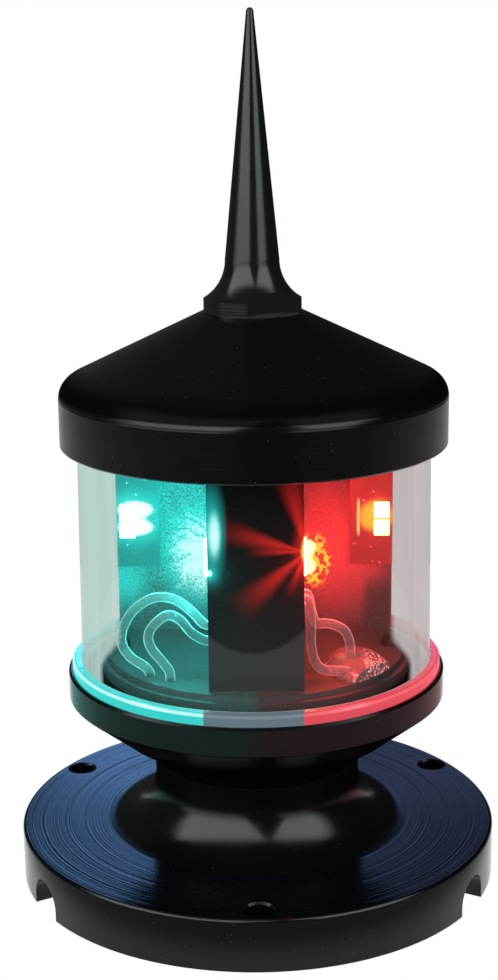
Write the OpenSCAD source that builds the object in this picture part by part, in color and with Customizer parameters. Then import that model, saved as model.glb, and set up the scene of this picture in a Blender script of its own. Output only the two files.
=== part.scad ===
// Masthead navigation light with a screwed-on spike.
// Millimetres, +Z up, origin at the centre of the base's underside.
// -Y is ahead, +X is port (red) and -X is starboard (green).

/* [Mounting base] */
// Diameter of the base disc
base_d = 88.9; // [74:0.1:107]
// Thickness of the base disc
base_h = 9.6; // [8.5:0.1:12]
// Rounding of the base's top edge
base_edge = 0.6; // [0.2:0.1:1]
// Width of the rim that stands on the mast
base_rim_w = 8.4; // [8:0.1:10]
// Depth of the wiring recess under the base
recess_depth = 5.5; // [5:0.1:6]
// Distance of the mounting holes from the base's edge
hole_edge_gap = 3.7; // [3.5:0.1:4.2]
// Diameter of the mounting holes, for No. 10 screws
hole_d = 5; // [4:0.1:5.2]
// Number of mounting holes
hole_count = 3; // [3:1:4]
// Width of the arched wire notches
notch_w = 8.6; // [6:0.1:9]
// Height of the arched wire notches
notch_h = 6; // [5:0.1:6.5]

/* [Lower housing] */
// Diameter of the spool's foot
foot_d = 56; // [48:0.1:66]
// Radius of the cove between foot and neck
cove_r = 9; // [9:0.1:12]
// Smallest diameter of the neck
neck_d = 38.2; // [31.5:0.1:46]
// Length of the straight part of the neck above the cove
neck_l = 3.4; // [1:0.1:6]
// How far the flange stands out past the lens foot
flange_edge = 0.7; // [0.5:0.1:3]
// Height of the flange's upright side
flange_h = 5.4; // [4.8:0.1:8]
// Height of the cone under the flange
under_cone_h = 12.2; // [10.5:0.1:14]
// Wall of the neck around its bore
neck_wall = 4.6; // [4:0.1:5.5]
// Depth of the wide pocket in the flange
pocket_depth = 8.6; // [7.2:0.1:9]

/* [Lens] */
// Outer diameter of the clear tube at its foot
lens_d = 64.6; // [59:0.1:78]
// Wall of the clear tube
lens_wall = 3; // [2.5:0.1:3.6]
// Height of the lens from its foot's underside to its top end
lens_h = 46.9; // [39:0.1:57]
// Height of the lens foot ring
lens_foot_h = 2.1; // [1.8:0.1:3]
// Width that the foot ring stands out from the tube
lens_foot_w = 1.8; // [1:0.1:2]
// Narrowing of the outer diameter from foot to top
lens_draft = 0.8; // [0:0.1:1]

/* [Cap] */
// Wall of the cap's skirt around the lens
skirt_wall = 2.9; // [2.4:0.1:4]
// Height of the upright skirt
skirt_h = 8.6; // [7.5:0.1:10]
// Length of lens that the skirt covers
skirt_lap = 4.9; // [4.5:0.1:6]
// Height of the cone above the skirt
cone_h = 14.9; // [13.5:0.1:18]
// Radius of the rounding between the skirt and the cone
shoulder_r = 4; // [1.5:0.1:5]
// Width of the flat left around the spike's flange
cap_flat_edge = 0.45; // [0.2:0.05:3]
// Wall of the cone
cap_wall = 4; // [3:0.1:4.5]

/* [Spike] */
// Diameter of the spike's flange
spike_flange_d = 17.5; // [15.5:0.1:21]
// Thickness of the spike's flange
spike_flange_h = 2.4; // [2.2:0.1:3.5]
// Diameter where the flare runs into the needle
needle_d = 9.66; // [8.5:0.1:10.5]
// Radius of the flare
flare_r = 8; // [7:0.1:9]
// Length of the straight needle
needle_l = 42.8; // [30:0.1:60]
// Diameter of the needle's point
tip_d = 1.3; // [1:0.1:2]
// Distance between the two wrench flats
wrench_w = 13.8; // [13.4:0.1:14.5]
// Turn of the wrench flats from ahead
wrench_turn = 32; // [0:1:90]
// Diameter of the screwed stud, M6
stud_d = 5.9; // [4.9:0.1:7.1]
// Length of the stud
stud_l = 10; // [8:0.1:10.5]

/* [Screens and lamps] */
// Width of the front screen
front_screen_w = 16.5; // [13.7:0.1:20]
// Gap between the front screen's corners and the carrier disc's edge
front_screen_gap = 1.45; // [0.5:0.05:3]
// Gap between the rear screen's corners and the lens
rear_screen_gap = 0.7; // [0.5:0.1:2]
// Distance of the rear screen's face behind the axis
rear_screen_y = 9.5; // [8.5:0.1:10]
// Thickness of the rear screen
rear_screen_t = 2.4; // [2:0.1:2.8]
// Height of the lamps' centre above the carrier disc
lamp_z = 22; // [18:0.1:24]
// Side of one square lamp
lamp_w = 2.8; // [2:0.1:3]
// Distance between stacked lamps
lamp_pitch = 3.4; // [3:0.1:4]

/* [Hidden] */
$fn = 96;

over = 1;          // how far a cutting tool runs past what it cuts
slip = 0.2;        // gap between pieces that slide together
thread_gap = 0.05; // radial gap between a screw's core and its hole

base_r = base_d / 2;
hole_circle_r = base_r - hole_edge_gap;
recess_r = base_r - base_rim_w;
hole_bevel = 0.35;

foot_r = foot_d / 2;
foot_sink = 0.6;                       // how deep the foot sits in the base
foot_z = base_h - foot_sink;
neck_r = neck_d / 2;
cove_x = neck_r + cove_r;
cove_z = base_h + sqrt(pow(cove_r, 2) - pow(cove_x - foot_r, 2));
cone_z = cove_z + neck_l;
flange_z = cone_z + under_cone_h;
deck_z = flange_z + flange_h;          // top of the housing
neck_bore_r = neck_r - neck_wall;
pocket_z = deck_z - pocket_depth;
flange_lip = 0.4;

lens_r = lens_d / 2;
lens_in_r = lens_r - lens_wall;
lens_top_z = deck_z + lens_h;
lens_top_r = lens_r - lens_draft / 2;
lens_foot_r = lens_r + lens_foot_w;
flange_r = lens_foot_r + flange_edge;

disc_t = 2.9;                          // carrier disc
disc_step = 1.3;
disc_z = deck_z + disc_t;              // its top face
disc_r = lens_in_r - 0.7;
disc_top_r = disc_r - disc_step;
pocket_r = disc_r - 2.6;
carrier_screw_r = pocket_r - 0.8;
carrier_angles = [0, 60, 120, 180];
lug_r = 3.2;

seal_h = 1.2;                          // height of a squeezed seal
seal_w = 1.9;
lower_seal_r = lens_in_r + 1.9;
upper_seal_h = 1.5;
upper_seal_r = lens_top_r - lens_wall / 2;
upper_seal_w = lens_wall - 0.8;

cap_seat_r = lens_top_r + slip;
cap_r = cap_seat_r + skirt_wall;
cap_z = lens_top_z - skirt_lap;
shoulder_z = cap_z + skirt_h;          // where the upright side ends
cap_top_z = shoulder_z + cone_h;
cap_flat_r = spike_flange_d / 2 + cap_flat_edge;
shoulder_in = cap_r - shoulder_r - cap_flat_r;
shoulder_turn = 180 - atan(cone_h / shoulder_in)
  - acos(shoulder_r / sqrt(pow(shoulder_in, 2) + pow(cone_h, 2)));
cap_slope = 1 / tan(shoulder_turn);    // the cone runs on from the rounding
cap_seat_z = lens_top_z + upper_seal_h;
cap_boss_r = stud_d / 2 + 3.55;
plate_t = 2;                           // top plate
plate_z = lens_top_z - 4;
plate_r = lens_in_r - 0.8;
boss_z = plate_z + plate_t;

flange_top_z = cap_top_z + spike_flange_h;
spike_flange_r = spike_flange_d / 2;
needle_r = needle_d / 2;
flare_x = needle_r + flare_r;
flare_z = flange_top_z + sqrt(pow(flare_r, 2) - pow(flare_x - spike_flange_r, 2));
tip_r = tip_d / 2;
tip_z = flare_z + needle_l;
stud_r = stud_d / 2;
stud_hole_depth = stud_l + 1;
spike_seal_in_r = stud_r + 0.35;
spike_seal_out_r = spike_seal_in_r + 1.8;
spike_seal_h = 1.2;

tie_r = 2;
tie_top_z = cap_top_z - stud_hole_depth - 1.6;
tie_low_z = deck_z - 4.4;
nut_af = 7;
nut_h = 3.2;
washer_t = 0.8;
sleeve_r = 3.5;

screen_top_z = plate_z;
screen_h = screen_top_z - disc_z;
front_screen_y = sqrt(pow(disc_top_r - front_screen_gap, 2) - pow(front_screen_w / 2, 2));
rear_screen_w = 2 * sqrt(pow(lens_in_r - rear_screen_gap, 2)
                         - pow(rear_screen_y + rear_screen_t, 2));
face_t = 2.5;                          // thickness of the front screen's face
bar_w = front_screen_w - 2.7;          // solid bar behind the face
bar_y = front_screen_y - face_t;
bar_l = 10;
foot_w = 26;                           // rear screen's foot
foot_l = 5;
foot_t = 2;
board_t = 1;
board_h = 18;
lamp_t = 1;
lamps_z = disc_z + lamp_z;
board_z = lamps_z - board_h / 2;
beam_board_h = 26;                     // reaches down to the leads
beam_board_z = board_z + board_h - beam_board_h;
beam_lamp_y = -17;
beam_board_w = 8;
ahead_lamp_x = rear_screen_w / 2 - 2.1;
ahead_board_w = 8;
stern_board_w = 18;
stern_lamp_x = 5;

lead_r = 0.9;
lead_hole_r = lead_r + 0.15;
// Routes of the leads, from circuit board to carrier disc. Heights are above the disc's top.
beam_face_x = bar_w / 2 + board_t;
stern_face_y = rear_screen_y + rear_screen_t + board_t;
starboard_routes = [
  [[-beam_face_x, -17, 9.9], [-beam_face_x - 1.3, -17, 9.9], [-11.5, -15.6, 11.9], [-14.5, -14, 13.5],
   [-18, -13, 13.5], [-21.5, -12.4, 11.3], [-23.6, -12.2, 8], [-24, -12.8, 5],
   [-22.4, -13.8, 2.7], [-19.8, -15, 1.3], [-18.9, -15.4, -0.1], [-18.9, -15.4, -2.5],
   [-18.9, -15.4, -4.5]],
  [[-beam_face_x, -17, 6.9], [-beam_face_x - 1.3, -17, 6.9], [-11.4, -17, 8.3], [-13.4, -17, 10.7],
   [-15.6, -17, 11.5], [-18, -17, 9.7], [-19, -17, 7.5], [-18.4, -17.4, 5.5],
   [-16.4, -18, 3.1], [-15.3, -18.4, 1.5], [-15.2, -18.4, -0.1], [-15.2, -18.4, -2.5],
   [-15.2, -18.4, -4.5]]
];
port_routes = [
  [[beam_face_x, -15.4, 14.5], [beam_face_x + 1.2, -15.4, 14.5],
   [beam_face_x + 1.9, -15.4, 11.5], [beam_face_x + 2.7, -15.4, 9.3],
   [12.8, -15.2, 9.1], [15.4, -14.8, 7.9], [16.6, -14.4, 5.5], [16.8, -14, 2.5],
   [16.8, -14, -0.1], [16.8, -14, -2.5], [16.8, -14, -4.5]],
  [[beam_face_x, -18.8, 14.5], [beam_face_x + 1.2, -18.8, 14.5],
   [beam_face_x + 1.7, -18.8, 10.5], [beam_face_x + 1.7, -18.8, 6.5],
   [beam_face_x + 2.3, -18.8, 3.5], [11.8, -18.8, 1.8], [14.2, -18.6, 1.5],
   [16.2, -18.2, 1.1], [17, -18, -0.1], [17, -18, -2.5], [17, -18, -4.5]]
];
ahead_lead_x = ahead_lamp_x - 3.3;
ahead_lead_h = board_z + 1.5 - disc_z;
ahead_route = [
  [ahead_lead_x, rear_screen_y, ahead_lead_h],
  [ahead_lead_x, rear_screen_y + 1.7, ahead_lead_h],
  [ahead_lead_x, rear_screen_y + 3.3, ahead_lead_h - 0.1],
  [20.3, 14, 12.5], [19.2, 14.2, 8.5], [17.4, 14.6, 4], [17, 14.8, 1.5],
  [17, 14.8, -0.1], [17, 14.8, -4.5]
];
stern_route = [
  [0, stern_face_y, 15.5], [0, stern_face_y + 1.3, 15.5], [0.3, 15.6, 13.5],
  [1.2, 17.4, 9], [1.9, 19.2, 3.5], [2, 19.6, 1], [2, 19.6, -4.5]
];
rear_routes = [ahead_route, stern_route, [for (p = ahead_route) [-p[0], p[1], p[2]]]];

base_screw_r = neck_bore_r + 2.6;
base_screw_count = 4;
m3_r = 1.5;
base_seal_r = base_screw_r + m3_r + 0.75 + seal_w / 2;
m3_head_r = 2.8;
m3_head_h = 1.6;
m2_r = 1;
m2_head_r = 1.9;
m2_head_h = 1.4;

grommet_r = 8;
grommet_flange_r = 10.5;
grommet_flange_t = 1.2;
grommet_bore_r = 3;

driver_y = 6;                          // front face of the driver board
driver_h = 22;
driver_t = 1.6;
driver_gap = 0.72;                     // between the board's corners and the bore
driver_w = 2 * sqrt(pow(neck_bore_r - driver_gap, 2) - pow(driver_y + driver_t, 2));
driver_z = base_h + 2.4;
bracket_w = 10;
bracket_t = 1.2;
bracket_l = 9.2;
bracket_screw_x = 3;
bracket_screw_y = driver_y + 5;

// Points of an arc about (cx, cy), for outlines.
function arc(cx, cy, r, a0, a1, n) =
  [for (i = [0:n]) let (a = a0 + (a1 - a0) * i / n) [cx + r * cos(a), cy + r * sin(a)]];

// A place on a smooth curve through the points p, between points i and i + 1.
function clamp_i(p, i) = p[max(0, min(len(p) - 1, i))];
function curve_at(p, i, t) =
  let (a = clamp_i(p, i - 1), b = clamp_i(p, i), c = clamp_i(p, i + 1), d = clamp_i(p, i + 2))
  0.5 * (2 * b + (c - a) * t + (2 * a - 5 * b + 4 * c - d) * pow(t, 2)
         + (3 * b - a - 3 * c + d) * pow(t, 3));
function smooth(p, steps) =
  [for (i = [0:len(p) - 2], s = [0:steps - 1]) curve_at(p, i, s / steps), p[len(p) - 1]];
function unit(v) = v / norm(v);

// A round lead swept along a route.
module lead(route) {
  line = smooth(route, 3);
  sides = 8;
  n = len(line);
  rings = [for (i = [0:n - 1])
    let (
      dir = i == 0 ? unit(route[1] - route[0]) : unit(line[min(n - 1, i + 1)] - line[i - 1]),
      side = unit(cross(dir, [0.3, 1, 0.1])),
      up = cross(side, dir)
    )
    for (k = [0:sides - 1])
      line[i] + lead_r * (cos(360 * k / sides) * side + sin(360 * k / sides) * up)];
  walls = [for (i = [0:n - 2], k = [0:sides - 1])
    let (a = i * sides + k, b = i * sides + (k + 1) % sides)
    [a, b, b + sides, a + sides]];
  ends = [[for (k = [sides - 1:-1:0]) k], [for (k = [0:sides - 1]) (n - 1) * sides + k]];
  translate([0, 0, disc_z]) polyhedron(rings, concat(walls, ends), convexity = 4);
}

// Holes through the carrier disc for every lead that passes it.
module lead_holes() {
  for (route = concat(starboard_routes, port_routes, rear_routes)) {
    last = route[len(route) - 1];
    translate([last[0], last[1], deck_z - over])
      cylinder(h = disc_t + 2 * over, r = lead_hole_r, $fn = 24);
  }
}

// A squeezed seal ring with flat top and bottom.
module seal_ring(r, z, h, w) {
  translate([0, 0, z]) rotate_extrude() intersection() {
    translate([r, h / 2]) circle(r = w / 2, $fn = 32);
    translate([r - w, 0]) square([2 * w, h]);
  }
}

// A groove for a seal ring.
module seal_groove(r, z, h, w) {
  translate([0, 0, z]) rotate_extrude()
    translate([r - w / 2 - slip / 2, 0]) square([w + slip, h]);
}

module ring_of(count, radius, start = 0) {
  for (i = [0:count - 1])
    rotate([0, 0, start + 360 * i / count]) translate([radius, 0, 0]) children();
}

// A pan-head screw pointing up, its head below z = 0.
module pan_screw(r, head_r, head_h, length) {
  cylinder(h = length, r = r, $fn = 32);
  translate([0, 0, -head_h]) difference() {
    cylinder(h = head_h, r1 = head_r * 0.86, r2 = head_r, $fn = 32);
    translate([0, 0, -over]) cylinder(h = over + head_h * 0.5, r = head_r * 0.45, $fn = 6);
  }
}

// A flat-head screw pointing up, its head flush with z = 0.
module flat_screw(r, head_r, head_h, length) {
  difference() {
    union() {
      cylinder(h = head_h, r1 = head_r, r2 = r, $fn = 32);
      cylinder(h = length, r = r, $fn = 32);
    }
    translate([0, 0, -over]) cylinder(h = over + head_h * 0.6, r = head_r * 0.4, $fn = 6);
  }
}

module mounting_base() {
  color([0.13, 0.15, 0.2]) difference() {
    rotate_extrude($fn = 180) polygon(concat(
      [[0, 0], [base_r, 0], [base_r, base_h - base_edge]],
      arc(base_r - base_edge, base_h - base_edge, base_edge, 15, 75, 4),
      [[base_r - base_edge, base_h], [0, base_h]]
    ));
    translate([0, 0, -over]) cylinder(h = recess_depth + over, r = recess_r, $fn = 120);
    translate([0, 0, foot_z]) cylinder(h = foot_sink + over, r = foot_r + slip / 2, $fn = 120);
    translate([0, 0, -over]) cylinder(h = base_h + 2 * over, r = grommet_r);
    ring_of(hole_count, hole_circle_r, -90) {
      translate([0, 0, -over]) cylinder(h = base_h + 2 * over, r = hole_d / 2, $fn = 48);
      translate([0, 0, base_h - hole_bevel])
        cylinder(h = hole_bevel + 0.01, r1 = hole_d / 2, r2 = hole_d / 2 + hole_bevel, $fn = 48);
    }
    ring_of(hole_count, 0, -90 + 180 / hole_count) {
      notch_z = notch_h - notch_w / 2;
      translate([recess_r - over, 0, notch_z]) rotate([0, 90, 0])
        cylinder(h = base_rim_w + 2 * over, r = notch_w / 2, $fn = 48);
      translate([recess_r - over, -notch_w / 2, -over])
        cube([base_rim_w + 2 * over, notch_w, notch_z + over]);
    }
    ring_of(base_screw_count, base_screw_r, 45) {
      translate([0, 0, recess_depth - over])
        cylinder(h = base_h, r = m3_r + slip, $fn = 32);
      translate([0, 0, recess_depth])
        cylinder(h = m3_head_h, r1 = m3_head_r, r2 = m3_r, $fn = 32);
    }
  }
}

module cable_grommet() {
  color([0.07, 0.07, 0.07]) difference() {
    union() {
      translate([0, 0, recess_depth - grommet_flange_t])
        cylinder(h = foot_z - recess_depth + 2 * grommet_flange_t, r = grommet_r);
      translate([0, 0, recess_depth - grommet_flange_t])
        cylinder(h = grommet_flange_t, r = grommet_flange_r);
      translate([0, 0, foot_z]) cylinder(h = grommet_flange_t, r = grommet_flange_r);
    }
    cylinder(h = base_h + 2 * over, r = grommet_bore_r);
  }
}

module base_seal() {
  color([0.06, 0.06, 0.06]) seal_ring(base_seal_r, foot_z, seal_h, seal_w);
}

module base_screws() {
  color([0.6, 0.6, 0.62]) ring_of(base_screw_count, base_screw_r, 45)
    translate([0, 0, recess_depth]) flat_screw(m3_r, m3_head_r, m3_head_h, 9);
}

module lower_housing() {
  color([0.1, 0.1, 0.11]) difference() {
    rotate_extrude($fn = 180) difference() {
      polygon([
        [0, foot_z], [foot_r, foot_z], [foot_r, base_h], [foot_r, cove_z], [neck_r, cove_z],
        [neck_r, cone_z], [flange_r - flange_lip, flange_z], [flange_r, flange_z + flange_lip],
        [flange_r, deck_z - flange_lip], [flange_r - flange_lip, deck_z], [0, deck_z]
      ]);
      translate([cove_x, cove_z]) circle(r = cove_r, $fn = 180);
    }
    translate([0, 0, foot_z - over]) cylinder(h = deck_z, r = neck_bore_r);
    difference() {
      translate([0, 0, pocket_z]) cylinder(h = pocket_depth + over, r = pocket_r);
      for (a = carrier_angles) rotate([0, 0, a])
        translate([carrier_screw_r, 0, pocket_z - over])
          cylinder(h = pocket_depth + 3 * over, r = lug_r, $fn = 32);
    }
    for (a = carrier_angles) rotate([0, 0, a])
      translate([carrier_screw_r, 0, deck_z - 7])
        cylinder(h = 7 + over, r = m2_r + thread_gap, $fn = 24);
    seal_groove(base_seal_r, foot_z - 0.01, seal_h + 0.01, seal_w);
    seal_groove(lower_seal_r, deck_z - seal_h, seal_h + 0.01, seal_w);
    ring_of(base_screw_count, base_screw_r, 45)
      translate([0, 0, foot_z - over]) cylinder(h = over + 6.5, r = m3_r + thread_gap, $fn = 32);
  }
}

module lens_lower_seal() {
  color([0.06, 0.06, 0.06]) seal_ring(lower_seal_r, deck_z - seal_h, seal_h, seal_w);
}

module lens() {
  bevel = 0.6;
  color([0.85, 0.9, 0.92, 0.3]) rotate_extrude($fn = 180) polygon([
    [lens_in_r, deck_z], [lens_foot_r, deck_z], [lens_foot_r, deck_z + lens_foot_h - bevel],
    [lens_foot_r - bevel, deck_z + lens_foot_h], [lens_r, deck_z + lens_foot_h],
    [lens_top_r, lens_top_z], [lens_top_r - lens_wall, lens_top_z]
  ]);
}

module lens_upper_seal() {
  color([0.06, 0.06, 0.06]) seal_ring(upper_seal_r, lens_top_z, upper_seal_h, upper_seal_w);
}

module carrier_disc() {
  color([0.09, 0.1, 0.1]) difference() {
    rotate_extrude($fn = 120) polygon([
      [0, deck_z], [disc_r, deck_z], [disc_r, disc_z - 1], [disc_top_r, disc_z - 1],
      [disc_top_r, disc_z], [0, disc_z]
    ]);
    translate([0, 0, deck_z - over]) cylinder(h = disc_t + 2 * over, r = tie_r + slip / 2, $fn = 32);
    lead_holes();
    for (a = carrier_angles) rotate([0, 0, a]) translate([carrier_screw_r, 0, deck_z - over])
      cylinder(h = disc_t + 2 * over, r = m2_r + slip / 2, $fn = 24);
    for (y = [bar_y - 3, bar_y - 7]) translate([0, -y, deck_z - over])
      cylinder(h = disc_t + 2 * over, r = m2_r + slip / 2, $fn = 24);
    for (x = [-8, 8]) translate([x, rear_foot_y(), deck_z - over])
      cylinder(h = disc_t + 2 * over, r = m2_r + slip / 2, $fn = 24);
    for (x = [-bracket_screw_x, bracket_screw_x])
      translate([x, bracket_screw_y, deck_z - over])
        cylinder(h = disc_t - 1 + over, r = m2_r + thread_gap, $fn = 24);
  }
}

function rear_foot_y() = rear_screen_y + rear_screen_t + foot_l / 2;

module carrier_screws() {
  color([0.16, 0.16, 0.17]) for (a = carrier_angles) rotate([0, 0, a])
    translate([carrier_screw_r, 0, disc_z]) rotate([180, 0, 0])
      pan_screw(m2_r, m2_head_r, m2_head_h, 8);
}

module front_screen() {
  color([0.08, 0.08, 0.09]) difference() {
    union() {
      translate([-front_screen_w / 2, -front_screen_y, disc_z])
        cube([front_screen_w, face_t, screen_h]);
      translate([-bar_w / 2, -bar_y - 0.01, disc_z]) cube([bar_w, bar_l, screen_h]);
    }
    for (y = [bar_y - 3, bar_y - 7]) translate([0, -y, disc_z - over])
      cylinder(h = 6 + over, r = m2_r + thread_gap, $fn = 24);
  }
}

module front_screen_screws() {
  color([0.6, 0.6, 0.62]) for (y = [bar_y - 3, bar_y - 7])
    translate([0, -y, deck_z]) pan_screw(m2_r, m2_head_r, m2_head_h, disc_t + 5);
}

module rear_screen() {
  color([0.08, 0.08, 0.09]) difference() {
    union() {
      translate([-rear_screen_w / 2, rear_screen_y, disc_z])
        cube([rear_screen_w, rear_screen_t, screen_h]);
      translate([-foot_w / 2, rear_screen_y, disc_z])
        cube([foot_w, rear_screen_t + foot_l, foot_t]);
    }
    for (x = [-8, 8]) translate([x, rear_foot_y(), disc_z - over])
      cylinder(h = foot_t + 2 * over, r = m2_r + thread_gap, $fn = 24);
    for (s = [-1, 1]) translate([s * ahead_lead_x, rear_screen_y - over, disc_z + ahead_lead_h])
      rotate([-90, 0, 0]) cylinder(h = rear_screen_t + 2 * over, r = lead_hole_r, $fn = 24);
  }
}

module rear_screen_screws() {
  color([0.6, 0.6, 0.62]) for (x = [-8, 8])
    translate([x, rear_foot_y(), deck_z]) pan_screw(m2_r, m2_head_r, m2_head_h, disc_t + foot_t);
}

// Circuit board on one side of the front screen's bar.
module beam_board(side) {
  color([0.05, 0.22, 0.12])
    translate([side > 0 ? bar_w / 2 : -bar_w / 2 - board_t, beam_lamp_y - beam_board_w / 2,
               beam_board_z])
      cube([board_t, beam_board_w, beam_board_h]);
}

// Circuit board on the front of the rear screen.
module ahead_board(side) {
  x0 = side > 0 ? rear_screen_w / 2 - ahead_board_w : -rear_screen_w / 2;
  color([0.05, 0.22, 0.12]) translate([x0, rear_screen_y - board_t, board_z])
    cube([ahead_board_w, board_t, board_h]);
}

module stern_board() {
  color([0.05, 0.22, 0.12])
    translate([-stern_board_w / 2, rear_screen_y + rear_screen_t, board_z])
      cube([stern_board_w, board_t, board_h]);
}

// Two stacked lamps on the beam board and two on the ahead board of one side.
module side_lamps(side) {
  beam_x = side * (bar_w / 2 + board_t + lamp_t / 2);
  for (z = [-lamp_pitch / 2, lamp_pitch / 2]) {
    translate([beam_x, beam_lamp_y, lamps_z + z]) cube([lamp_t, lamp_w, lamp_w], center = true);
    translate([side * ahead_lamp_x, rear_screen_y - board_t - lamp_t / 2, lamps_z + z])
      cube([lamp_w, lamp_t, lamp_w], center = true);
  }
}

module red_lamps() {
  color([0.95, 0.2, 0.15]) side_lamps(1);
}

module green_lamps() {
  color([0.2, 0.9, 0.75]) side_lamps(-1);
}

module white_lamps() {
  color([0.95, 0.95, 0.9]) for (x = [-stern_lamp_x, 0, stern_lamp_x])
    translate([x, rear_screen_y + rear_screen_t + board_t + lamp_t / 2, lamps_z])
      cube([lamp_w, lamp_t, lamp_w], center = true);
}

module port_leads() {
  color([0.75, 0.2, 0.18]) for (route = port_routes) lead(route);
}

module starboard_leads() {
  color([0.7, 0.75, 0.75]) for (route = starboard_routes) lead(route);
}

module rear_leads() {
  color([0.7, 0.7, 0.7]) for (route = rear_routes) lead(route);
}

// A dome of clear sealant over the port leads' holes.
module port_sealant() {
  color([0.8, 0.75, 0.75, 0.6]) intersection() {
    translate([18.2, -13, disc_z]) rotate([0, 0, 12]) scale([1, 1.6, 0.5])
      sphere(r = 5.6, $fn = 28);
    translate([0, 0, disc_z]) cylinder(h = 4, r = disc_top_r, $fn = 120);
  }
}

module top_plate() {
  color([0.08, 0.08, 0.09]) translate([0, 0, plate_z]) difference() {
    cylinder(h = plate_t, r = plate_r);
    translate([0, 0, -over]) cylinder(h = plate_t + 2 * over, r = tie_r + slip / 2, $fn = 32);
  }
}

module tie_rod() {
  color([0.6, 0.6, 0.62]) translate([0, 0, tie_low_z])
    cylinder(h = tie_top_z - tie_low_z, r = tie_r, $fn = 32);
}

module tie_sleeve() {
  color([0.1, 0.1, 0.1]) translate([0, 0, disc_z]) difference() {
    cylinder(h = screen_h, r = sleeve_r, $fn = 48);
    translate([0, 0, -over]) cylinder(h = screen_h + 2 * over, r = tie_r + slip / 2, $fn = 32);
  }
}

module tie_washer() {
  color([0.6, 0.6, 0.62]) translate([0, 0, deck_z - washer_t]) difference() {
    cylinder(h = washer_t, r = nut_af / 2 + 0.7, $fn = 48);
    translate([0, 0, -over]) cylinder(h = washer_t + 2 * over, r = tie_r + slip / 2, $fn = 32);
  }
}

module tie_nut() {
  color([0.6, 0.6, 0.62]) translate([0, 0, deck_z - washer_t - nut_h]) difference() {
    cylinder(h = nut_h, r = nut_af / 2 / cos(30), $fn = 6);
    translate([0, 0, -over]) cylinder(h = nut_h + 2 * over, r = tie_r + thread_gap, $fn = 32);
  }
}

module driver_bracket() {
  leg_z = driver_z + driver_h - 8;
  color([0.6, 0.6, 0.62]) difference() {
    union() {
      translate([-bracket_w / 2, driver_y - bracket_t, leg_z])
        cube([bracket_w, bracket_t, deck_z - leg_z]);
      translate([-bracket_w / 2, driver_y - bracket_t, deck_z - bracket_t])
        cube([bracket_w, bracket_l, bracket_t]);
    }
    for (x = [-bracket_screw_x, bracket_screw_x]) {
      translate([x, bracket_screw_y, deck_z - bracket_t - over])
        cylinder(h = bracket_t + 2 * over, r = m2_r + slip / 2, $fn = 24);
      translate([x, driver_y - bracket_t - over, board_screw_z()]) rotate([-90, 0, 0])
        cylinder(h = bracket_t + 2 * over, r = m2_r + thread_gap, $fn = 24);
    }
  }
}

function board_screw_z() = driver_z + driver_h - 4;

module bracket_screws() {
  color([0.6, 0.6, 0.62]) for (x = [-bracket_screw_x, bracket_screw_x])
    translate([x, bracket_screw_y, deck_z - bracket_t])
      pan_screw(m2_r, m2_head_r, m2_head_h, bracket_t + 1.6);
}

module driver_board() {
  color([0.05, 0.22, 0.12]) difference() {
    translate([-driver_w / 2, driver_y, driver_z]) cube([driver_w, driver_t, driver_h]);
    for (x = [-bracket_screw_x, bracket_screw_x])
      translate([x, driver_y - over, board_screw_z()]) rotate([-90, 0, 0])
        cylinder(h = driver_t + 2 * over, r = m2_r + slip / 2, $fn = 24);
  }
}

module board_screws() {
  color([0.6, 0.6, 0.62]) for (x = [-bracket_screw_x, bracket_screw_x])
    translate([x, driver_y + driver_t, board_screw_z()]) rotate([90, 0, 0])
      pan_screw(m2_r, m2_head_r, m2_head_h, driver_t + bracket_t);
}

module driver_inductor() {
  color([0.2, 0.2, 0.22]) translate([-5.5, driver_y, driver_z + 10.2]) rotate([90, 0, 0])
    cylinder(h = 4, r = 3.4, $fn = 48);
}

module driver_capacitor() {
  color([0.15, 0.2, 0.35]) translate([3.5, driver_y, driver_z + 10.5]) rotate([90, 0, 0])
    cylinder(h = 7, r = 2.6, $fn = 48);
}

module driver_chip() {
  color([0.08, 0.08, 0.08]) translate([-2.5, driver_y + driver_t, driver_z + 6])
    cube([5, 1.2, 5]);
}

module terminal_block() {
  color([0.1, 0.35, 0.2]) difference() {
    translate([-5.2, driver_y - 6.5, driver_z + 0.4]) cube([10.4, 6.5, 6]);
    for (x = [-2.6, 2.6]) {
      translate([x, driver_y - 3.6, driver_z + 3.8])
        cylinder(h = 2.6 + over, r = 1.6, $fn = 24);
      translate([x, driver_y - 6.5 - over, driver_z + 2.2]) rotate([-90, 0, 0])
        cylinder(h = 3 + over, r = 1.2, $fn = 24);
    }
  }
}

module terminal_screws() {
  color([0.6, 0.6, 0.62]) for (x = [-2.6, 2.6])
    translate([x, driver_y - 3.6, driver_z + 3.8]) difference() {
      cylinder(h = 1.8, r = 1.5, $fn = 24);
      translate([-2, -0.25, 1.2]) cube([4, 0.5, 1]);
    }
}

// Height of the cap's outer cone at a radius.
function cone_top(r) = cap_top_z - (r - cap_flat_r) * cap_slope;

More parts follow.
